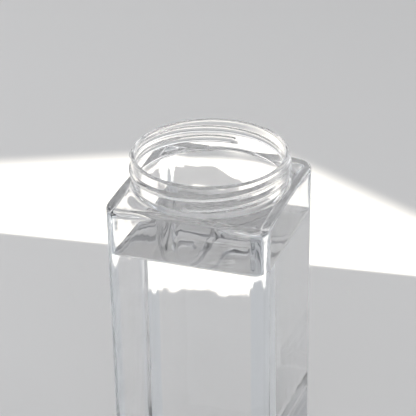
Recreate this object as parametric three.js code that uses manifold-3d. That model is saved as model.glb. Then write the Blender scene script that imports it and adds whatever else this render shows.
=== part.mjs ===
// Square specimen jar with a wide round screw neck, and the clear fluid that it holds.
// Millimetres, +Z up. The origin is the middle of the square that the jar stands on.
import * as THREE from "three";
import { mergeVertices } from "three/addons/utils/BufferGeometryUtils.js";
import Module from "manifold-3d";

// ---- Driving dimensions ----
const BODY_WIDTH = 84; // across the flats, just under the shoulder
const SHOULDER_HEIGHT = 180; // resting face to shoulder
const WALL_DRAFT = 0.005; // each flat leans in by this much per millimetre downwards
const CORNER_RADIUS = 9; // the body's upright corners
const HEEL_RADIUS = 4; // where the walls turn under into the base
const SHOULDER_EDGE_RADIUS = 1.7;
const CORNER_DROOP = 1.6; // how far the shoulder falls away towards its corners

const NECK_HEIGHT = 17.2; // shoulder to rim
const NECK_RADIUS = 39.2;
const NECK_BASE_FILLET = 1.4;
const NECK_WALL = 3; // at the bore's foot
const BORE_FLARE = 0.7; // the bore's radius grows by this much from its foot to the lip
const LIP_RADIUS = 0.9; // the rim's two rounded edges, with a flat land between them

const BODY_WALL = 4;
const CAVITY_CORNER_RADIUS = 3;
const FLOOR_THICKNESS = 9;
const CAVITY_HEEL_RADIUS = 7;
const BORE_FOOT_RISE = 2; // the bore ends this far above the shoulder, and the cavity's roof begins
const ROOF_DROP = 6; // how far the roof falls towards the corners
const ROOF_REACH = 3.5; // distance from the bore at which the roof has fallen by two thirds of that
const ROOF_CURVE = 1.4; // crowds the roof's rings towards the bore, where it curves most
const ROOF_FILLET = 2.5; // between the roof and the walls
const ROOF_FILLET_SHARE = 0.4; // the most of the roof's width that the fillet takes
const WALL_TOP_DROP = 7.5; // from the shoulder down to where the plain walls begin

const BASE_RECESS_DEPTH = 1.4;
const BEARING_BAND = 6; // width of the flat square band that the jar stands on
const RECESS_CORNER_RADIUS = 5;
const RECESS_SLOPE = 2.5;

const THREAD_STARTS = 2;
const THREAD_LEAD = 10.4; // rise in one full turn
const THREAD_WRAP = 290; // degrees covered by each start
const THREAD_FIRST_ANGLE = -92; // degrees, lower end of the first start
const THREAD_FIRST_HEIGHT = 5.8; // its middle, above the shoulder
const THREAD_DEPTH = 1.1; // how far the bead stands out of the neck
const THREAD_HALF_WIDTH = 1.8;
const THREAD_ROOT = 0.9; // how far the bead is buried in the neck wall
const THREAD_LEAD_IN = 5; // degrees over which each end tapers away

const FLUID_DEPTH_BELOW_SHOULDER = 28;
const FLUID_CLEARANCE = 0.3;

// ---- Facets ----
const FLAT_STEPS = 5; // along half a side of the square
const CORNER_STEPS = 8; // round one corner
const EDGE_STEPS = 4; // across a rounded edge
const SHOULDER_STEPS = 3; // from the square edge in to the neck
const ROOF_STEPS = 4; // from the bore out to the roof's fillet
const THREAD_STEP = 7; // degrees

const degrees = THREE.MathUtils.degToRad;
const halfBody = BODY_WIDTH / 2;
const rimHeight = SHOULDER_HEIGHT + NECK_HEIGHT;
const boreRadius = NECK_RADIUS - NECK_WALL;

// Half the body's width at a height, with the draft taken off.
const halfWidthAt = (z) => halfBody - (SHOULDER_HEIGHT - z) * WALL_DRAFT;

// ---- Outlines: each gives the distance from the axis at an angle ----
const circle = (radius) => () => radius;

function roundedSquare(half, corner) {
  const centre = half - corner;
  return (angle) => {
    const x = Math.abs(Math.cos(angle));
    const y = Math.abs(Math.sin(angle));
    const flat = half / Math.max(x, y);
    if (flat * Math.min(x, y) <= centre) return flat;
    const along = centre * (x + y);
    return along + Math.sqrt(along * along - 2 * centre * centre + corner * corner);
  };
}

const between = (inner, outer, share) => (angle) =>
  THREE.MathUtils.lerp(inner(angle), outer(angle), share);

// The angles of one ring's points, close together round the four corners.
function ringAngles() {
  const cornerStart = Math.atan((halfBody - CORNER_RADIUS) / halfBody);
  const cornerSpan = Math.PI / 2 - 2 * cornerStart;
  const eighth = [];
  for (let i = 0; i < FLAT_STEPS; i++) eighth.push((cornerStart * i) / FLAT_STEPS);
  const quarter = [...eighth];
  for (let i = 0; i <= CORNER_STEPS; i++) quarter.push(cornerStart + (cornerSpan * i) / CORNER_STEPS);
  for (const angle of eighth.slice(1).reverse()) quarter.push(Math.PI / 2 - angle);
  return [0, 1, 2, 3].flatMap((turn) => quarter.map((angle) => angle + (turn * Math.PI) / 2));
}

const ANGLES = ringAngles();

// ---- Lofting: a skin through rings, closed by a point on the axis at each end ----
function loft(rings, firstZ, lastZ) {
  const count = ANGLES.length;
  const points = [new THREE.Vector3(0, 0, firstZ)];
  for (const { reach, height } of rings) {
    for (const angle of ANGLES) {
      const distance = reach(angle);
      const z = typeof height === "function" ? height(distance, angle) : height;
      points.push(new THREE.Vector3(distance * Math.cos(angle), distance * Math.sin(angle), z));
    }
  }
  points.push(new THREE.Vector3(0, 0, lastZ));
  const faces = [];
  const at = (ring, i) => 1 + ring * count + (i % count);
  for (let i = 0; i < count; i++) {
    faces.push(0, at(0, i + 1), at(0, i));
    faces.push(points.length - 1, at(rings.length - 1, i), at(rings.length - 1, i + 1));
    for (let ring = 0; ring + 1 < rings.length; ring++) {
      faces.push(at(ring, i), at(ring, i + 1), at(ring + 1, i + 1));
      faces.push(at(ring, i), at(ring + 1, i + 1), at(ring + 1, i));
    }
  }
  const geometry = new THREE.BufferGeometry().setFromPoints(points);
  geometry.setIndex(faces);
  return geometry;
}

// Shares of a quarter turn, from 0 to 1.
const quarterTurn = (steps) =>
  Array.from({ length: steps + 1 }, (_, i) => ((i / steps) * Math.PI) / 2);

// ---- The jar's skin, in order from the base's middle, up the outside and down the inside ----
function baseRings() {
  const foot = halfWidthAt(0) - HEEL_RADIUS;
  const recess = foot - BEARING_BAND;
  const rings = [
    { reach: roundedSquare(recess - RECESS_SLOPE, RECESS_CORNER_RADIUS), height: BASE_RECESS_DEPTH },
    { reach: roundedSquare(recess, RECESS_CORNER_RADIUS), height: 0 },
  ];
  for (const turn of quarterTurn(EDGE_STEPS)) {
    const inset = HEEL_RADIUS * (1 - Math.sin(turn));
    rings.push({
      reach: roundedSquare(halfWidthAt(0) - inset, CORNER_RADIUS - inset),
      height: HEEL_RADIUS * (1 - Math.cos(turn)),
    });
  }
  return rings;
}

// The shoulder's surface falls away beyond the flats, towards the four corners.
function shoulderFall(distance) {
  const share = THREE.MathUtils.clamp((distance - halfBody) / (halfBody * 0.4), 0, 1);
  return CORNER_DROOP * share * share;
}

function shoulderRings() {
  const rings = quarterTurn(EDGE_STEPS).map((turn) => {
    const inset = SHOULDER_EDGE_RADIUS * (1 - Math.cos(turn));
    const drop = SHOULDER_EDGE_RADIUS * (1 - Math.sin(turn));
    return {
      reach: roundedSquare(halfBody - inset, CORNER_RADIUS - inset),
      height: (distance) => SHOULDER_HEIGHT - drop - shoulderFall(distance),
    };
  });
  const edge = roundedSquare(halfBody - SHOULDER_EDGE_RADIUS, CORNER_RADIUS - SHOULDER_EDGE_RADIUS);
  const neckFoot = circle(NECK_RADIUS + NECK_BASE_FILLET);
  for (let i = 1; i < SHOULDER_STEPS; i++) {
    rings.push({
      reach: between(edge, neckFoot, i / SHOULDER_STEPS),
      height: (distance) => SHOULDER_HEIGHT - shoulderFall(distance),
    });
  }
  return rings;
}

function neckRings() {
  const fillet = quarterTurn(EDGE_STEPS).map((turn) => ({
    reach: circle(NECK_RADIUS + NECK_BASE_FILLET * (1 - Math.sin(turn))),
    height: SHOULDER_HEIGHT + NECK_BASE_FILLET * (1 - Math.cos(turn)),
  }));
  const outerLip = quarterTurn(EDGE_STEPS).map((turn) => ({
    reach: circle(NECK_RADIUS - LIP_RADIUS * (1 - Math.cos(turn))),
    height: rimHeight - LIP_RADIUS * (1 - Math.sin(turn)),
  }));
  const innerLip = quarterTurn(EDGE_STEPS).map((turn) => ({
    reach: circle(boreRadius + BORE_FLARE + LIP_RADIUS * (1 - Math.sin(turn))),
    height: rimHeight - LIP_RADIUS * (1 - Math.cos(turn)),
  }));
  return [...fillet, ...outerLip, ...innerLip];
}

const cavityFloor = FLOOR_THICKNESS;
const boreFoot = SHOULDER_HEIGHT + BORE_FOOT_RISE;
const wallTop = SHOULDER_HEIGHT - WALL_TOP_DROP;

// How far the roof has fallen at a distance outwards from the bore.
const roofFall = (outward) => ROOF_DROP * (1 - Math.exp(-outward / ROOF_REACH));

// The cavity's outline at a height below its roof, drawn in by an extra amount.
function cavityOutline(z, inset) {
  const heel = CAVITY_HEEL_RADIUS;
  const below = THREE.MathUtils.clamp(cavityFloor + heel - z, 0, heel);
  const heelInset = heel - Math.sqrt(heel * heel - below * below);
  const total = inset + heelInset;
  return roundedSquare(halfWidthAt(z) - BODY_WALL - total, Math.max(CAVITY_CORNER_RADIUS - total, 0.5));
}

function cavityRings() {
  const wall = cavityOutline(wallTop, 0);
  const filletAt = (angle) => Math.min(ROOF_FILLET, ROOF_FILLET_SHARE * (wall(angle) - boreRadius));
  const roofWidthAt = (angle) => wall(angle) - filletAt(angle) - boreRadius;
  const rings = [{ reach: circle(boreRadius), height: boreFoot }];
  for (let i = 1; i <= ROOF_STEPS; i++) {
    const share = (i / ROOF_STEPS) ** ROOF_CURVE;
    rings.push({
      reach: (angle) => boreRadius + roofWidthAt(angle) * share,
      height: (distance) => boreFoot - roofFall(distance - boreRadius),
    });
  }
  for (const turn of quarterTurn(EDGE_STEPS).slice(1)) {
    rings.push({
      reach: (angle) => wall(angle) - filletAt(angle) * (1 - Math.sin(turn)),
      height: (distance, angle) =>
        boreFoot - roofFall(roofWidthAt(angle)) - filletAt(angle) * (1 - Math.cos(turn)),
    });
  }
  rings.push({ reach: wall, height: wallTop });
  for (const turn of quarterTurn(EDGE_STEPS)) {
    const z = cavityFloor + CAVITY_HEEL_RADIUS * (1 - Math.sin(turn));
    rings.push({ reach: cavityOutline(z, 0), height: z });
  }
  return rings;
}

// ---- Screw thread: one rounded bead for each start, wound up the neck ----
function threadBead(startAngle) {
  const section = [
    [-THREAD_ROOT, -THREAD_HALF_WIDTH],
    [0, -THREAD_HALF_WIDTH],
    [THREAD_DEPTH * 0.8, -THREAD_HALF_WIDTH * 0.5],
    [THREAD_DEPTH, 0],
    [THREAD_DEPTH * 0.8, THREAD_HALF_WIDTH * 0.5],
    [0, THREAD_HALF_WIDTH],
    [-THREAD_ROOT, THREAD_HALF_WIDTH],
  ];
  const turns = [0, THREAD_LEAD_IN];
  const steps = Math.round((THREAD_WRAP - 2 * THREAD_LEAD_IN) / THREAD_STEP);
  for (let i = 1; i <= steps; i++) {
    turns.push(THREAD_LEAD_IN + ((THREAD_WRAP - 2 * THREAD_LEAD_IN) * i) / steps);
  }
  turns.push(THREAD_WRAP);
  const points = [];
  for (const turn of turns) {
    const angle = degrees(startAngle + turn);
    const middle = SHOULDER_HEIGHT + THREAD_FIRST_HEIGHT + (THREAD_LEAD * turn) / 360;
    const sunk = turn === 0 || turn === THREAD_WRAP ? THREAD_DEPTH + THREAD_ROOT * 0.5 : 0;
    for (const [out, up] of section) {
      const distance = NECK_RADIUS + Math.max(out - sunk, -THREAD_ROOT - sunk * 0.5);
      points.push(new THREE.Vector3(distance * Math.cos(angle), distance * Math.sin(angle), middle + up));
    }
  }
  const sides = section.length;
  const faces = [];
  for (let ring = 0; ring + 1 < turns.length; ring++) {
    for (let i = 0; i < sides; i++) {
      const a = ring * sides + i;
      const b = ring * sides + ((i + 1) % sides);
      faces.push(a, a + sides, b + sides);
      faces.push(a, b + sides, b);
    }
  }
  const last = (turns.length - 1) * sides;
  for (let i = 1; i + 1 < sides; i++) {
    faces.push(0, i, i + 1);
    faces.push(last, last + i + 1, last + i);
  }
  const geometry = new THREE.BufferGeometry().setFromPoints(points);
  geometry.setIndex(faces);
  return geometry;
}

// ---- Joining with manifold-3d ----
const wasm = await Module();
wasm.setup();

function toSolid(geometry) {
  const bare = geometry.clone();
  bare.deleteAttribute("normal");
  bare.deleteAttribute("uv");
  const merged = mergeVertices(bare, 1e-4);
  return new wasm.Manifold(
    new wasm.Mesh({
      numProp: 3,
      vertProperties: merged.attributes.position.array,
      triVerts: new Uint32Array(merged.index.array),
    }),
  );
}

function toGeometry(solid) {
  const mesh = solid.getMesh();
  const geometry = new THREE.BufferGeometry();
  geometry.setAttribute("position", new THREE.BufferAttribute(mesh.vertProperties, 3));
  geometry.setIndex(new THREE.BufferAttribute(mesh.triVerts, 1));
  geometry.computeVertexNormals();
  return geometry;
}

// ---- Sub-parts ----
function jarBody() {
  const rings = [...baseRings(), ...shoulderRings(), ...neckRings(), ...cavityRings()];
  let solid = toSolid(loft(rings, BASE_RECESS_DEPTH, cavityFloor));
  for (let start = 0; start < THREAD_STARTS; start++) {
    const angle = THREAD_FIRST_ANGLE + (360 / THREAD_STARTS) * start;
    solid = solid.add(toSolid(threadBead(angle)));
  }
  const material = new THREE.MeshStandardMaterial({
    color: 0xeef2f3,
    roughness: 0.03,
    metalness: 0,
    transparent: true,
    opacity: 0.35,
  });
  const mesh = new THREE.Mesh(toGeometry(solid), material);
  mesh.name = "jar_body";
  return mesh;
}

function clearFluid() {
  const surface = SHOULDER_HEIGHT - FLUID_DEPTH_BELOW_SHOULDER;
  const rings = quarterTurn(EDGE_STEPS)
    .reverse()
    .map((turn) => {
      const z = cavityFloor + CAVITY_HEEL_RADIUS * (1 - Math.sin(turn));
      return { reach: cavityOutline(z, FLUID_CLEARANCE), height: z + FLUID_CLEARANCE };
    });
  rings.push({ reach: cavityOutline(surface, FLUID_CLEARANCE), height: surface });
  const material = new THREE.MeshStandardMaterial({
    color: 0xf4f8f9,
    roughness: 0.02,
    metalness: 0,
    transparent: true,
    opacity: 0.3,
  });
  const mesh = new THREE.Mesh(loft(rings, cavityFloor + FLUID_CLEARANCE, surface), material);
  mesh.name = "clear_fluid";
  return mesh;
}

const specimenJar = new THREE.Group();
specimenJar.add(jarBody(), clearFluid());

export default specimenJar;
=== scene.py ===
import math

import bpy
import numpy as np
from mathutils import Matrix, Quaternion, Vector


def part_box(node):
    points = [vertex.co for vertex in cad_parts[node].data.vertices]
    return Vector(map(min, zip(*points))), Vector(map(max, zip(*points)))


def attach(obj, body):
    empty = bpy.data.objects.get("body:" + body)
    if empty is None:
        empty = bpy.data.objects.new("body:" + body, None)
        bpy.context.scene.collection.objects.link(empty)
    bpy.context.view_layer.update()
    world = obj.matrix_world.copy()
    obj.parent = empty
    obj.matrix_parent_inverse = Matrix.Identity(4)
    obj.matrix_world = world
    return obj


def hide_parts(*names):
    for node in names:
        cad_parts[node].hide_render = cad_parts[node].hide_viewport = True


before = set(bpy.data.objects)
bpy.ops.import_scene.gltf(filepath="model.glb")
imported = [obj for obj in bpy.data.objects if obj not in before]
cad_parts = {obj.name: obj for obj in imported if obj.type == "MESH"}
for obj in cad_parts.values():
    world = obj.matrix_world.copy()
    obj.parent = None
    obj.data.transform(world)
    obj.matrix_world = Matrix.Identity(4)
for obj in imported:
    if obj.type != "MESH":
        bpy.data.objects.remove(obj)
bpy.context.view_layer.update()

# ---------------------------------------------------------------- sizes, in metres, as in the CAD model
JAR_LOW, JAR_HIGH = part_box("jar_body")
_, FLUID_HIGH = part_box("clear_fluid")
MM = 0.001

HALF_BODY = (JAR_HIGH.x - JAR_LOW.x) / 2
RIM_Z = JAR_HIGH.z
FLUID_Z = FLUID_HIGH.z

NECK_HEIGHT = 17.2 * MM
SHOULDER_Z = RIM_Z - NECK_HEIGHT
WALL_DRAFT = 0.005
CORNER_RADIUS = 9 * MM
HEEL_RADIUS = 4 * MM
SHOULDER_EDGE_RADIUS = 1.7 * MM
CORNER_DROOP = 1.6 * MM
DROOP_SPAN = 0.4  # the droop is complete this far past the half width, as a share of it
DROOP_FADE = 6  # power of the height by which the droop dies away down the walls

NECK_RADIUS = 39.2 * MM
NECK_BASE_FILLET = 1.4 * MM
NECK_WALL = 3 * MM
BORE_RADIUS = NECK_RADIUS - NECK_WALL
BORE_FLARE = 0.7 * MM  # the bore is this much wider at the lip than at its foot
LIP_RADIUS = 0.9 * MM

BODY_WALL = 4 * MM
CAVITY_CORNER_RADIUS = 3 * MM
CAVITY_LEAST_CORNER = 0.5 * MM
FLOOR_THICKNESS = 9 * MM
CAVITY_HEEL_RADIUS = 7 * MM
BORE_FOOT_Z = SHOULDER_Z + 2 * MM
ROOF_DROP = 6 * MM
ROOF_REACH = 3.5 * MM  # the roof has fallen by 63% of its drop at this distance from the bore
ROOF_FILLET = 2.5 * MM  # between the roof and the walls
ROOF_FILLET_SHARE = 0.4  # of the roof's width, at most
DRY_WALL_TOP_Z = SHOULDER_Z - 7.5 * MM

BASE_RECESS_DEPTH = 1.4 * MM
BEARING_BAND = 6 * MM
RECESS_CORNER_RADIUS = 5 * MM
RECESS_SLOPE = 2.5 * MM

THREAD_STARTS = 2
THREAD_LEAD = 10.4 * MM
THREAD_WRAP = math.radians(290)
THREAD_FIRST_ANGLE = math.radians(-92)
THREAD_FIRST_Z = SHOULDER_Z + 5.8 * MM
THREAD_DEPTH = 1.1 * MM
THREAD_HALF_WIDTH = 1.8 * MM
THREAD_ROUNDNESS = 0.8  # power that fills out the bead's section
THREAD_LEAD_IN = math.radians(4)

MENISCUS_RISE = 1.8 * MM
MENISCUS_LENGTH = 2.6 * MM  # over which the fluid's surface falls back to level
MENISCUS_REACH = 9 * MM  # the surface is modelled as level farther than this from the wall
MENISCUS_CORNER_LOSS = 0.5  # how fast the surface's corners get sharper away from the wall
MENISCUS_LEAST_CORNER = 2 * MM
CONTACT_Z = FLUID_Z + MENISCUS_RISE  # where the fluid's edge meets the glass
SKIN_GAP = 0.02 * MM  # between the fluid's skin and the glass that it wets

INNER_RIPPLE = 0.04 * MM
OUTER_RIPPLE = 0.02 * MM
# Each wave below has its number round the jar, its climb in radians per mm up, and its phase.
RIPPLES = ((7, 0.45, 5.0), (11, 0.21, 0.4), (17, -0.33, 1.9), (25, 0.12, 3.1))
DIMPLE = 0.02 * MM
DIMPLE_WAVES = ((64, 1.1, 0), (88, -0.9, 2))
DIMPLE_FADE = 3 * MM  # the dimples reach their full depth this far above the fluid's edge
DIMPLE_ON_FLATS = 0.15  # depth on the flats, as a share of DIMPLE
DIMPLE_CORNER_POWER = 8  # how narrowly the deeper dimples keep to the corners

# ---------------------------------------------------------------- mesh resolution
FLAT_STEPS = 26  # along half a side of the square
CORNER_STEPS = 18  # round one corner
EDGE_STEPS = 10  # across a rounded edge
NECK_STEP = 0.22 * MM  # between rings on the threaded neck
RECESS_RINGS = 4
RECESS_FLOOR_SHARES = (0.25, 0.5, 0.75)  # rings on the recess's flat, as shares of its width
SHOULDER_RINGS = 12
BORE_RINGS = 16
ROOF_RINGS = 12
ROOF_BUNCHING = 1.4  # power that bunches the roof's rings near the bore
MENISCUS_RINGS = 25
MENISCUS_BUNCHING = 1.8  # power that bunches the meniscus's rings near the wall
WALL_STEP = 3 * MM  # between rings on the tall walls
DRY_WALL_STEP = 1 * MM  # between rings above the fluid
INWARD_SHARES = (0.8, 0.6, 0.4, 0.2)  # sizes of the rings that close a flat end


# ---------------------------------------------------------------- outlines
def ring_angles():
    """The angles of one ring's points, close together round the four corners."""
    start = math.atan((HALF_BODY - CORNER_RADIUS) / HALF_BODY)
    eighth = np.linspace(0, start, FLAT_STEPS, endpoint=False)
    corner = np.linspace(start, math.pi / 2 - start, CORNER_STEPS + 1)
    quarter = np.concatenate([eighth, corner, math.pi / 2 - eighth[:0:-1]])
    return np.concatenate([quarter + turn * math.pi / 2 for turn in range(4)])


ANGLES = ring_angles()


def circle(radius):
    return np.full(len(ANGLES), radius)


def rounded_square(half, corner):
    """Distance from the axis to a square with rounded corners, at each of ANGLES."""
    centre = half - corner
    x, y = np.abs(np.cos(ANGLES)), np.abs(np.sin(ANGLES))
    flat = half / np.maximum(x, y)
    along = centre * (x + y)
    round_part = along + np.sqrt(np.maximum(along**2 - 2 * centre**2 + corner**2, 0))
    return np.where(flat * np.minimum(x, y) <= centre, flat, round_part)


def half_width(z):
    """Half the body's width at a height, with the draft taken off."""
    return HALF_BODY - (SHOULDER_Z - z) * WALL_DRAFT


def quarter_turn(steps):
    return [i / steps * math.pi / 2 for i in range(steps + 1)]


# ---------------------------------------------------------------- the glass, from its base up and over
def shoulder_fall(distance):
    """How far the shoulder has drooped at a distance from the axis. Only the corners droop."""
    share = np.clip((distance - HALF_BODY) / (HALF_BODY * DROOP_SPAN), 0, 1)
    return CORNER_DROOP * share**2


def base_rings():
    foot = half_width(0) - HEEL_RADIUS
    recess = foot - BEARING_BAND
    rings = []
    for share in RECESS_FLOOR_SHARES:
        outline = rounded_square((recess - RECESS_SLOPE) * share, RECESS_CORNER_RADIUS * share)
        rings.append((outline, BASE_RECESS_DEPTH))
    for i in range(RECESS_RINGS + 1):
        t = i / RECESS_RINGS
        smooth = t * t * (3 - 2 * t)
        inset = RECESS_SLOPE * (1 - t)
        rings.append((rounded_square(recess - inset, RECESS_CORNER_RADIUS), BASE_RECESS_DEPTH * (1 - smooth)))
    for turn in quarter_turn(EDGE_STEPS):
        inset = HEEL_RADIUS * (1 - math.sin(turn))
        outline = rounded_square(half_width(0) - inset, CORNER_RADIUS - inset)
        rings.append((outline, HEEL_RADIUS * (1 - math.cos(turn))))
    return rings


def outer_wall_rings():
    low, high = HEEL_RADIUS, SHOULDER_Z - SHOULDER_EDGE_RADIUS
    count = round((high - low) / WALL_STEP)
    rings = []
    for i in range(1, count):
        z = low + (high - low) * i / count
        outline = rounded_square(half_width(z), CORNER_RADIUS)
        corner_drop = shoulder_fall(outline) * (i / count) ** DROOP_FADE
        rings.append((outline + ripple(z, OUTER_RIPPLE), z - corner_drop))
    return rings


def shoulder_rings():
    rings = []
    for turn in quarter_turn(EDGE_STEPS):
        inset = SHOULDER_EDGE_RADIUS * (1 - math.cos(turn))
        drop = SHOULDER_EDGE_RADIUS * (1 - math.sin(turn))
        reach = rounded_square(HALF_BODY - inset, CORNER_RADIUS - inset)
        rings.append((reach, SHOULDER_Z - drop - shoulder_fall(reach)))
    edge = rounded_square(HALF_BODY - SHOULDER_EDGE_RADIUS, CORNER_RADIUS - SHOULDER_EDGE_RADIUS)
    foot = circle(NECK_RADIUS + NECK_BASE_FILLET)
    for i in range(1, SHOULDER_RINGS):
        reach = edge + (foot - edge) * i / SHOULDER_RINGS
        rings.append((reach, SHOULDER_Z - shoulder_fall(reach)))
    return rings


def thread_relief(z):
    """How far the two beads stand out of the neck at a height, at each of ANGLES."""
    relief = np.zeros(len(ANGLES))
    for start in range(THREAD_STARTS):
        first = THREAD_FIRST_ANGLE + start * 2 * math.pi / THREAD_STARTS
        turn = np.mod(ANGLES - first, 2 * math.pi)
        for lap in (0, 2 * math.pi):
            along = turn + lap
            middle = THREAD_FIRST_Z + THREAD_LEAD * along / (2 * math.pi)
            across = np.clip(1 - ((z - middle) / THREAD_HALF_WIDTH) ** 2, 0, 1)
            ends = np.clip(np.minimum(along, THREAD_WRAP - along) / THREAD_LEAD_IN, 0, 1)
            bead = THREAD_DEPTH * across**THREAD_ROUNDNESS
            relief = np.maximum(relief, bead * ends * ends * (3 - 2 * ends))
    return relief


def neck_rings():
    rings = []
    for turn in quarter_turn(EDGE_STEPS):
        radius = NECK_RADIUS + NECK_BASE_FILLET * (1 - math.sin(turn))
        rings.append((circle(radius), SHOULDER_Z + NECK_BASE_FILLET * (1 - math.cos(turn))))
    low, high = SHOULDER_Z + NECK_BASE_FILLET, RIM_Z - LIP_RADIUS
    count = round((high - low) / NECK_STEP)
    for i in range(1, count):
        z = low + (high - low) * i / count
        rings.append((NECK_RADIUS + thread_relief(z), z))
    for turn in quarter_turn(EDGE_STEPS):
        radius = NECK_RADIUS - LIP_RADIUS * (1 - math.cos(turn))
        rings.append((circle(radius), RIM_Z - LIP_RADIUS * (1 - math.sin(turn))))
    for turn in quarter_turn(EDGE_STEPS):
        radius = BORE_RADIUS + BORE_FLARE + LIP_RADIUS * (1 - math.sin(turn))
        rings.append((circle(radius), RIM_Z - LIP_RADIUS * (1 - math.cos(turn))))
    return rings


def ripple(z, size):
    """The slow unevenness of a moulded wall at a height, at each of ANGLES."""
    total = np.zeros(len(ANGLES))
    for turns, climb, phase in RIPPLES:
        total += np.sin(turns * ANGLES + climb * z / MM + phase)
    return size * total / len(RIPPLES)


def dimples(z):
    """The finer unevenness of the walls above the fluid, strongest at the four corners."""
    fine = 1.0
    for turns, climb, phase in DIMPLE_WAVES:
        fine = fine * np.sin(turns * ANGLES + climb * z / MM + phase)
    near_corner = np.sin(2 * ANGLES) ** DIMPLE_CORNER_POWER
    above = min(max((z - CONTACT_Z) / DIMPLE_FADE, 0), 1)
    return DIMPLE * above * (DIMPLE_ON_FLATS + near_corner) * fine


def cavity_outline(z, inset):
    """The cavity's outline at a height, drawn in by inset, with the heel's rounding at its foot."""
    below = min(max(FLOOR_THICKNESS + CAVITY_HEEL_RADIUS - z, 0), CAVITY_HEEL_RADIUS)
    total = inset + CAVITY_HEEL_RADIUS - math.sqrt(CAVITY_HEEL_RADIUS**2 - below**2)
    corner = max(CAVITY_CORNER_RADIUS - total, CAVITY_LEAST_CORNER)
    outline = rounded_square(half_width(z) - BODY_WALL - total, corner)
    return outline + ripple(z, INNER_RIPPLE) + dimples(z)


def roof_fall(outward):
    """How far the cavity's roof has fallen at a distance out from the bore."""
    return ROOF_DROP * (1 - np.exp(-outward / ROOF_REACH))


def bore_rings():
    """Down the bore, then out under the roof to the top of the cavity's walls."""
    rings = []
    low, high = BORE_FOOT_Z, RIM_Z - LIP_RADIUS
    for i in range(1, BORE_RINGS + 1):
        share = i / BORE_RINGS
        rings.append((circle(BORE_RADIUS + BORE_FLARE * (1 - share)), high + (low - high) * share))
    wall = cavity_outline(DRY_WALL_TOP_Z, 0)
    fillet = np.minimum(ROOF_FILLET, ROOF_FILLET_SHARE * (wall - BORE_RADIUS))
    for i in range(1, ROOF_RINGS + 1):
        outward = (wall - fillet - BORE_RADIUS) * (i / ROOF_RINGS) ** ROOF_BUNCHING
        rings.append((BORE_RADIUS + outward, BORE_FOOT_Z - roof_fall(outward)))
    outward = wall - fillet - BORE_RADIUS
    for turn in quarter_turn(EDGE_STEPS)[1:]:
        reach = wall - fillet * (1 - math.sin(turn))
        rings.append((reach, BORE_FOOT_Z - roof_fall(outward) - fillet * (1 - math.cos(turn))))
    return rings


def wall_levels(low, high, step):
    count = max(1, round((high - low) / step))
    return [low + (high - low) * i / count for i in range(count + 1)]


def cavity_rings():
    """Down the cavity's walls, with one ring just where the fluid's edge meets the glass."""
    heel_top = FLOOR_THICKNESS + CAVITY_HEEL_RADIUS
    dry = wall_levels(CONTACT_Z, DRY_WALL_TOP_Z, DRY_WALL_STEP)[::-1]
    wet = wall_levels(heel_top, CONTACT_Z, WALL_STEP)[::-1][1:]
    rings = [(cavity_outline(z, 0), z) for z in dry]
    wet_start = len(rings) - 1
    rings += [(cavity_outline(z, 0), z) for z in wet]
    for turn in quarter_turn(EDGE_STEPS)[1:]:
        z = FLOOR_THICKNESS + CAVITY_HEEL_RADIUS * (1 - math.sin(turn))
        rings.append((cavity_outline(z, 0), z))
    inner = rings[-1][0]
    for share in INWARD_SHARES:
        rings.append((inner * share, FLOOR_THICKNESS))
    return rings, wet_start


# ---------------------------------------------------------------- lofting
def loft(name, rings, first_z, last_z, slot_of):
    """A closed skin through rings, with a point on the axis at each end. slot_of gives a face's material from
    its band and its place round the ring."""
    count = len(ANGLES)
    cos, sin = np.cos(ANGLES), np.sin(ANGLES)
    points = [np.array([[0, 0, first_z]])]
    for reach, z in rings:
        points.append(np.stack([reach * cos, reach * sin, np.broadcast_to(z, count)], 1))
    points.append(np.array([[0, 0, last_z]]))
    points = np.concatenate(points)
    index = np.arange(count)
    after = (index + 1) % count
    faces, slots = [], []
    for i, j in zip(index.tolist(), after.tolist()):
        faces.append((0, 1 + j, 1 + i))
        slots.append(slot_of(0, i))
    for ring in range(len(rings) - 1):
        a, b = 1 + ring * count, 1 + (ring + 1) * count
        for i, j in zip(index.tolist(), after.tolist()):
            faces.append((a + i, a + j, b + j, b + i))
            slots.append(slot_of(ring + 1, i))
    top, last = len(points) - 1, 1 + (len(rings) - 1) * count
    for i, j in zip(index.tolist(), after.tolist()):
        faces.append((last + i, last + j, top))
        slots.append(slot_of(len(rings), i))
    mesh = bpy.data.meshes.new(name)
    mesh.from_pydata(points.tolist(), [], faces)
    mesh.polygons.foreach_set("use_smooth", [True] * len(faces))
    mesh.polygons.foreach_set("material_index", slots)
    mesh.update()
    piece = bpy.data.objects.new(name, mesh)
    bpy.context.scene.collection.objects.link(piece)
    return piece


# ---------------------------------------------------------------- materials
def new_material(name):
    material = bpy.data.materials.new(name)
    material.use_nodes = True
    tree = material.node_tree
    tree.nodes.clear()
    return material, tree


def link(tree, source, target):
    tree.links.new(source, target)


WAVINESS = 0.02 * MM
WAVINESS_SCALE = 60
WAVINESS_DETAIL = 2.0
WAVINESS_STRENGTH = 0.3


def waviness_bump(tree):
    coordinates = tree.nodes.new("ShaderNodeTexCoord")
    texture = tree.nodes.new("ShaderNodeTexNoise")
    texture.inputs["Scale"].default_value = WAVINESS_SCALE
    texture.inputs["Detail"].default_value = WAVINESS_DETAIL
    bump = tree.nodes.new("ShaderNodeBump")
    bump.inputs["Strength"].default_value = WAVINESS_STRENGTH
    bump.inputs["Distance"].default_value = WAVINESS
    link(tree, coordinates.outputs["Object"], texture.inputs["Vector"])
    link(tree, texture.outputs["Fac"], bump.inputs["Height"])
    return bump


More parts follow.
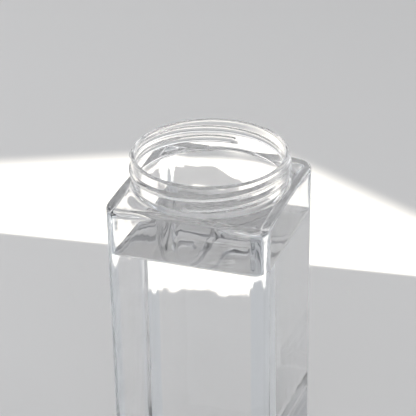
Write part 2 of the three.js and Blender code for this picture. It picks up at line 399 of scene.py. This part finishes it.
def clear_material(name, ior, tint, shade, wavy):
    """Smooth clear stuff. Lamps shine straight through it, and shade is the share that each face passes."""
    material, tree = new_material(name)
    output = tree.nodes.new("ShaderNodeOutputMaterial")
    shader = tree.nodes.new("ShaderNodeBsdfPrincipled")
    shader.inputs["Base Color"].default_value = (*tint, 1)
    shader.inputs["Roughness"].default_value = 0.0
    shader.inputs["IOR"].default_value = ior
    shader.inputs["Transmission Weight"].default_value = 1.0
    if wavy:
        bump = waviness_bump(tree)
        link(tree, bump.outputs["Normal"], shader.inputs["Normal"])
    path = tree.nodes.new("ShaderNodeLightPath")
    clear = tree.nodes.new("ShaderNodeBsdfTransparent")
    clear.inputs["Color"].default_value = (shade, shade, shade, 1)
    mix = tree.nodes.new("ShaderNodeMixShader")
    link(tree, path.outputs["Is Shadow Ray"], mix.inputs["Fac"])
    link(tree, shader.outputs["BSDF"], mix.inputs[1])
    link(tree, clear.outputs["BSDF"], mix.inputs[2])
    link(tree, mix.outputs["Shader"], output.inputs["Surface"])
    return material


def passing_material(name):
    """The fluid's skin where it wets the glass. It does nothing: the glass's wetted face bends the light."""
    material, tree = new_material(name)
    output = tree.nodes.new("ShaderNodeOutputMaterial")
    clear = tree.nodes.new("ShaderNodeBsdfTransparent")
    link(tree, clear.outputs["BSDF"], output.inputs["Surface"])
    return material


FLOOR_COLOR = (0.78, 0.78, 0.78)
FLOOR_ROUGHNESS = 0.7
FLOOR_SPECULAR = 0.2


def floor_material():
    material, tree = new_material("pale_floor")
    output = tree.nodes.new("ShaderNodeOutputMaterial")
    shader = tree.nodes.new("ShaderNodeBsdfPrincipled")
    shader.inputs["Base Color"].default_value = (*FLOOR_COLOR, 1)
    shader.inputs["Roughness"].default_value = FLOOR_ROUGHNESS
    shader.inputs["Specular IOR Level"].default_value = FLOOR_SPECULAR
    link(tree, shader.outputs["BSDF"], output.inputs["Surface"])
    return material


GLASS_IOR = 1.5
FLUID_IOR = 1.334
NO_TINT = (1, 1, 1)
GLASS_TINT = (0.995, 0.997, 1.0)
CORNER_TINT_AND_BLUE_REFLECTION = (0.89, 0.945, 1.0)  # painted bluish reflection at the corners, partly the thick glass's own colour
BLUE_REFLECTION_HALF_ANGLE = math.radians(6)
SHADE = 0.98  # the share of a lamp's light that one face passes
NECK_SHADE = 0.28  # the thread scatters the light, so the neck throws a soft shadow

GLASS = clear_material("clear_glass", GLASS_IOR, GLASS_TINT, SHADE, True)
NECK_GLASS = clear_material("neck_glass", GLASS_IOR, GLASS_TINT, NECK_SHADE, True)
# The corner faces carry a painted bluish reflection, on top of the glass's own tint.
CORNER_REFLECTION_GLASS = clear_material("corner_reflection_glass", GLASS_IOR, CORNER_TINT_AND_BLUE_REFLECTION, SHADE, True)
WETTED_GLASS = clear_material("wetted_glass", GLASS_IOR / FLUID_IOR, NO_TINT, SHADE, True)
FLUID_SURFACE = clear_material("fluid_surface", FLUID_IOR, NO_TINT, SHADE, False)
FLUID_SKIN = passing_material("fluid_skin")

JAR_MATERIALS = (GLASS, WETTED_GLASS, NECK_GLASS, CORNER_REFLECTION_GLASS)
CLEAR_SLOT, WETTED_SLOT, NECK_SLOT, CORNER_REFLECTION_SLOT = range(len(JAR_MATERIALS))
FLUID_MATERIALS = (FLUID_SURFACE, FLUID_SKIN)
SURFACE_SLOT, SKIN_SLOT = range(len(FLUID_MATERIALS))


# ---------------------------------------------------------------- pieces
def glass_jar():
    below = base_rings() + outer_wall_rings() + shoulder_rings()
    neck = neck_rings()
    bore = bore_rings()
    cavity, wet_start = cavity_rings()
    rings = below + neck + bore + cavity
    wet_band = len(rings) - len(cavity) + wet_start + 1

    outer_wall = range(len(base_rings()), len(base_rings()) + len(outer_wall_rings()) + 1)
    # Marks the corner faces that get the painted bluish reflection.
    reflection_at_corner = np.abs(np.sin(2 * ANGLES)) > math.cos(2 * BLUE_REFLECTION_HALF_ANGLE)

    def slot(band, i):
        if band >= wet_band:
            return WETTED_SLOT
        if 0 < band - len(below) <= len(neck) + BORE_RINGS:
            return NECK_SLOT
        return CORNER_REFLECTION_SLOT if band in outer_wall and reflection_at_corner[i] else CLEAR_SLOT

    piece = loft("glass_jar", rings, BASE_RECESS_DEPTH, FLOOR_THICKNESS, slot)
    for material in JAR_MATERIALS:
        piece.data.materials.append(material)
    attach(piece, "root")
    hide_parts("jar_body")
    return piece


def meniscus_height(distance_from_wall):
    return MENISCUS_RISE * math.exp(-distance_from_wall / MENISCUS_LENGTH)


def fluid_fill():
    """The clear fluid: a skin just inside the glass, and a level top that climbs a little at the wall."""
    rings = []
    inner = cavity_outline(FLOOR_THICKNESS, SKIN_GAP)
    bottom = FLOOR_THICKNESS + SKIN_GAP
    for share in INWARD_SHARES[::-1]:
        rings.append((inner * share, bottom))
    for turn in quarter_turn(EDGE_STEPS)[::-1]:
        z = FLOOR_THICKNESS + CAVITY_HEEL_RADIUS * (1 - math.sin(turn))
        rings.append((cavity_outline(z, SKIN_GAP), max(z, bottom)))
    heel_top = FLOOR_THICKNESS + CAVITY_HEEL_RADIUS
    for z in wall_levels(heel_top, CONTACT_Z, WALL_STEP)[1:]:
        rings.append((cavity_outline(z, SKIN_GAP), z))
    top_band = len(rings)
    half = half_width(FLUID_Z) - BODY_WALL - SKIN_GAP
    for step in range(1, MENISCUS_RINGS + 1):
        inset = MENISCUS_REACH * (step / MENISCUS_RINGS) ** MENISCUS_BUNCHING
        corner = max(CAVITY_CORNER_RADIUS - inset * MENISCUS_CORNER_LOSS, MENISCUS_LEAST_CORNER)
        rings.append((rounded_square(half - inset, corner), FLUID_Z + meniscus_height(inset)))
    inner = rings[-1][0]
    for share in INWARD_SHARES:
        rings.append((inner * share, FLUID_Z))

    def slot(band, _):
        return SURFACE_SLOT if band >= top_band else SKIN_SLOT

    piece = loft("fluid_fill", rings, bottom, FLUID_Z, slot)
    for material in FLUID_MATERIALS:
        piece.data.materials.append(material)
    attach(piece, "root")
    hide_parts("clear_fluid")
    return piece


glass_jar()
fluid_fill()

# ---------------------------------------------------------------- stage: plain pale floor, soft light
FLOOR_HALF = 8.0
FLOOR_DROP = 0.2 * MM  # below the jar's resting face, so the two never coincide


def floor():
    mesh = bpy.data.meshes.new("floor")
    h = FLOOR_HALF
    mesh.from_pydata([(-h, -h, 0), (h, -h, 0), (h, h, 0), (-h, h, 0)], [], [(0, 1, 2, 3)])
    mesh.materials.append(floor_material())
    piece = bpy.data.objects.new("floor", mesh)
    piece.location.z = -FLOOR_DROP
    bpy.context.scene.collection.objects.link(piece)


def area_light(name, place, target, size, watts, glints):
    """A soft lamp. It is never seen through the glass, and it is reflected in the glass only if it glints."""
    data = bpy.data.lights.new(name, "AREA")
    data.shape = "RECTANGLE"
    data.size, data.size_y = size
    data.energy = watts
    # With this on, the floor seen through the glass comes out too dark.
    data.cycles.use_multiple_importance_sampling = False
    lamp = bpy.data.objects.new(name, data)
    lamp.location = place
    aim = Vector(target) - Vector(place)
    lamp.rotation_euler = aim.to_track_quat("-Z", "Y").to_euler()
    lamp.visible_glossy = glints
    lamp.visible_transmission = False
    bpy.context.scene.collection.objects.link(lamp)


def math_node(tree, operation, first, second):
    node = tree.nodes.new("ShaderNodeMath")
    node.operation = operation
    for socket, value in zip(node.inputs, (first, second)):
        if isinstance(value, (int, float)):
            socket.default_value = value
        else:
            link(tree, value, socket)
    return node.outputs[0]


def gate_node(tree, value, closed, opened):
    """Rises smoothly from 0 to 1 as value goes from closed to opened."""
    gate = tree.nodes.new("ShaderNodeMapRange")
    gate.interpolation_type = "SMOOTHSTEP"
    gate.inputs["From Min"].default_value = closed
    gate.inputs["From Max"].default_value = opened
    link(tree, value, gate.inputs["Value"])
    return gate.outputs[0]


# Places in the room are parts of a direction of length one: sideways, back and up.
SKY_STOPS = ((0.0, 0.42), (0.3, 0.36), (0.65, 0.27), (0.9, 0.05))  # part up, brightness there
SKY_BLUE = 0.08  # how much bluer the room is overhead than at the horizon
CARD_EDGE = 0.5  # a dark card stands on each side, out past this part sideways
CARD_SOFTNESS = 0.15
CARD_BRIGHTNESS = 0.1  # as a share of the room's
BACK_GLOW = 1.3
BACK_GLOW_UP = (0.3, 0.12)  # where the glow starts and is full, coming down
BACK_GLOW_BACK = (0.1, 0.5)  # and going back
BEAM_SLOPE = Vector((-0.65, 1.58))  # how far the window's light goes across the floor as it falls by one
WINDOW_GLOW = 0.6
WINDOW_CORE, WINDOW_EDGE = math.radians(12), math.radians(22)  # from the middle of the window


def sky():
    """A dim room, brighter towards the horizon, with a bright low strip behind the jar, a faint glow round
    the window, and a dark card on each side."""
    world = bpy.data.worlds.new("soft_room")
    bpy.context.scene.world = world
    world.use_nodes = True
    tree = world.node_tree
    background = tree.nodes["Background"]
    coordinates = tree.nodes.new("ShaderNodeTexCoord")
    split = tree.nodes.new("ShaderNodeSeparateXYZ")
    ramp = tree.nodes.new("ShaderNodeValToRGB")
    link(tree, coordinates.outputs["Generated"], split.inputs["Vector"])
    link(tree, split.outputs["Z"], ramp.inputs["Fac"])
    stops = ramp.color_ramp.elements
    while len(stops) < len(SKY_STOPS):
        stops.new(0.5)
    for stop, (height, brightness) in zip(stops, SKY_STOPS):
        stop.position = height
        blue = SKY_BLUE * height
        stop.color = (brightness * (1 - blue), brightness * (1 - blue / 2), brightness * (1 + blue), 1)
    low = gate_node(tree, split.outputs["Z"], *BACK_GLOW_UP)
    behind = gate_node(tree, split.outputs["Y"], *BACK_GLOW_BACK)
    glow = math_node(tree, "MULTIPLY", low, behind)
    glow = math_node(tree, "MULTIPLY", glow, BACK_GLOW)
    towards_beam = tree.nodes.new("ShaderNodeVectorMath")
    towards_beam.operation = "DOT_PRODUCT"
    link(tree, coordinates.outputs["Generated"], towards_beam.inputs[0])
    towards_beam.inputs[1].default_value = Vector((-BEAM_SLOPE.x, -BEAM_SLOPE.y, 1)).normalized()
    window = gate_node(tree, towards_beam.outputs["Value"], math.cos(WINDOW_EDGE), math.cos(WINDOW_CORE))
    glow = math_node(tree, "ADD", glow, math_node(tree, "MULTIPLY", window, WINDOW_GLOW))
    sideways = math_node(tree, "ABSOLUTE", split.outputs["X"], 0)
    card = gate_node(tree, sideways, CARD_EDGE + CARD_SOFTNESS, CARD_EDGE)
    room = tree.nodes.new("ShaderNodeVectorMath")
    room.operation = "SCALE"
    link(tree, ramp.outputs["Color"], room.inputs[0])
    link(tree, math_node(tree, "MAXIMUM", card, CARD_BRIGHTNESS), room.inputs["Scale"])
    total = tree.nodes.new("ShaderNodeVectorMath")
    total.operation = "ADD"
    link(tree, room.outputs["Vector"], total.inputs[0])
    link(tree, glow, total.inputs[1])
    link(tree, total.outputs["Vector"], background.inputs["Color"])


POOL_HEIGHT = 0.6
POOL_SPREAD = math.radians(1.2)
POOL_BRIGHTNESS = 5.0


def pool_lamp(name, x, y, size, turn):
    """A gridded lamp straight above the floor, which lights one patch of it and nothing else."""
    data = bpy.data.lights.new(name, "AREA")
    data.shape = "RECTANGLE"
    data.size, data.size_y = size
    data.energy = POOL_BRIGHTNESS * size[0] * size[1]
    data.spread = POOL_SPREAD
    lamp = bpy.data.objects.new(name, data)
    lamp.location = (x, y, POOL_HEIGHT)
    lamp.rotation_euler = (0, 0, turn)
    bpy.context.scene.collection.objects.link(lamp)


BEAM_HEIGHT = 8.0
BEAM_POWER = 30000.0
BEAM_COLOR = (1.0, 0.94, 0.83)
BEAM_LAMP_RADIUS = 0.001  # metres
# The lit patches' edges: a point on the edge, the direction in which the patch gets brighter, and the edge's
# softness. The second patch stands in for light thrown through the jar, which isn't traced, so it is ragged.
BEAM_PATCHES = (
    (
        ((0, 0.2467), (-0.1, 1.0), 0.004),
        ((0, 0.4389), (0.455, -1.0), 0.035),
        ((0, 0.3407), (-0.545, -1.0), 0.03),
        ((0.08, 0), (-1.0, 0), 0.02),
    ),
    (
        ((0, 0.2287), (-0.1, 1.0), 0.004),
        ((0, 0.2597), (0.1, -1.0), 0.004),
        ((-0.12, 0), (1.0, 0), 0.008),
        ((-0.035, 0.235), (-1.0, 0.5), 0.008),
    ),
)
BEAM_RAGGEDNESS = (0, 0.012)  # metres, for each patch
RAGGED_SCALE = 90
RAGGED_DETAIL = 3
RAGGED_STRETCH = 0.3  # the unevenness is drawn out along Y by the inverse of this


def ragged_node(tree, across, size):
    """An uneven distance, between plus and minus size, for a place on the floor."""
    place = tree.nodes.new("ShaderNodeCombineXYZ")
    link(tree, across[0], place.inputs["X"])
    link(tree, math_node(tree, "MULTIPLY", across[1], RAGGED_STRETCH), place.inputs["Y"])
    noise = tree.nodes.new("ShaderNodeTexNoise")
    noise.inputs["Scale"].default_value = RAGGED_SCALE
    noise.inputs["Detail"].default_value = RAGGED_DETAIL
    link(tree, place.outputs["Vector"], noise.inputs["Vector"])
    uneven = math_node(tree, "SUBTRACT", noise.outputs["Fac"], 0.5)
    return math_node(tree, "MULTIPLY", uneven, size * 2)


def window_beam():
    """A far lamp with shaped gates, which light two overlapping patches of the floor behind the jar."""
    data = bpy.data.lights.new("window_beam", "POINT")
    data.energy = BEAM_POWER
    data.color = BEAM_COLOR
    data.shadow_soft_size = BEAM_LAMP_RADIUS
    data.use_nodes = True
    tree = data.node_tree
    emission = tree.nodes["Emission"]
    coordinates = tree.nodes.new("ShaderNodeTexCoord")
    split = tree.nodes.new("ShaderNodeSeparateXYZ")
    link(tree, coordinates.outputs["Normal"], split.inputs["Vector"])
    down = math_node(tree, "ABSOLUTE", split.outputs["Z"], 0)
    place = Vector((-BEAM_SLOPE.x * BEAM_HEIGHT, -BEAM_SLOPE.y * BEAM_HEIGHT, BEAM_HEIGHT))
    across = []
    for axis in "XY":
        run = math_node(tree, "DIVIDE", split.outputs[axis], down)
        run = math_node(tree, "MULTIPLY", run, BEAM_HEIGHT)
        across.append(math_node(tree, "ADD", run, place["XY".index(axis)]))
    strength = 0.0
    for edges, raggedness in zip(BEAM_PATCHES, BEAM_RAGGEDNESS):
        ragged = ragged_node(tree, across, raggedness)
        patch = 1.0
        for point, direction, softness in edges:
            normal = Vector(direction).normalized()
            part_x = math_node(tree, "MULTIPLY", across[0], normal.x)
            part_y = math_node(tree, "MULTIPLY", across[1], normal.y)
            inside = math_node(tree, "ADD", part_x, part_y)
            inside = math_node(tree, "SUBTRACT", inside, Vector(point).dot(normal) - softness / 2)
            inside = math_node(tree, "ADD", inside, ragged)
            gate = gate_node(tree, inside, 0, softness)
            patch = math_node(tree, "MULTIPLY", gate, patch)
        strength = math_node(tree, "MAXIMUM", patch, strength)
    link(tree, strength, emission.inputs["Strength"])
    lamp = bpy.data.objects.new("window_beam", data)
    lamp.location = place
    bpy.context.scene.collection.objects.link(lamp)


# Name, place across the floor, size and turn.
POOL_LAMPS = (
    ("left_pool", -0.38, -0.16, (0.16, 0.12), 0.3),
    ("right_pool", 0.42, -0.09, (0.16, 0.2), 0.2),
)
# Name, place, the point it is aimed at, size, watts, and whether it glints.
SOFT_LAMPS = (
    ("soft_left", (-1.3, 0.4, 1.8), (0, 0, 0.05), (1.2, 1.2), 20.5, False),
    ("soft_right", (1.3, 0.2, 1.8), (0, 0, 0.05), (1.2, 1.2), 13.5, False),
    ("glint", (1.0, -2.4, 1.65), (0, 0, 0.15), (0.3, 0.3), 9, True),
)

floor()
sky()
window_beam()
for lamp in POOL_LAMPS:
    pool_lamp(*lamp)
for lamp in SOFT_LAMPS:
    area_light(*lamp)


# ---------------------------------------------------------------- camera, at the photograph's viewing angle
CAMERA_PLACE = Vector((302.8, -848.3, 636.3)) * MM
CAMERA_AIM = Vector((-1.5, 0, 165.7)) * MM
CAMERA_ROLL = math.radians(-0.98)
CAMERA_LENS = 176.1  # mm
CAMERA_SENSOR = 36  # mm wide
CAMERA_CLIP = (0.05, 50)


def camera():
    data = bpy.data.cameras.new("camera")
    data.sensor_width = CAMERA_SENSOR
    data.lens = CAMERA_LENS
    data.clip_start, data.clip_end = CAMERA_CLIP
    level = (CAMERA_AIM - CAMERA_PLACE).to_track_quat("-Z", "Y")
    roll = Quaternion((0, 0, 1), CAMERA_ROLL)
    piece = bpy.data.objects.new("camera", data)
    piece.matrix_world = Matrix.LocRotScale(CAMERA_PLACE, level @ roll, None)
    bpy.context.scene.collection.objects.link(piece)
    bpy.context.scene.camera = piece


camera()

BOUNCES = 160  # light that is trapped in the thick edges needs many bounces to get out

scene = bpy.context.scene
scene.view_settings.view_transform = "Standard"
scene.cycles.max_bounces = BOUNCES
scene.cycles.transmission_bounces = BOUNCES
scene.cycles.glossy_bounces = BOUNCES
scene.cycles.transparent_max_bounces = BOUNCES
scene.cycles.sample_clamp_indirect = 0
scene.cycles.caustics_refractive = False
scene.cycles.caustics_reflective = False
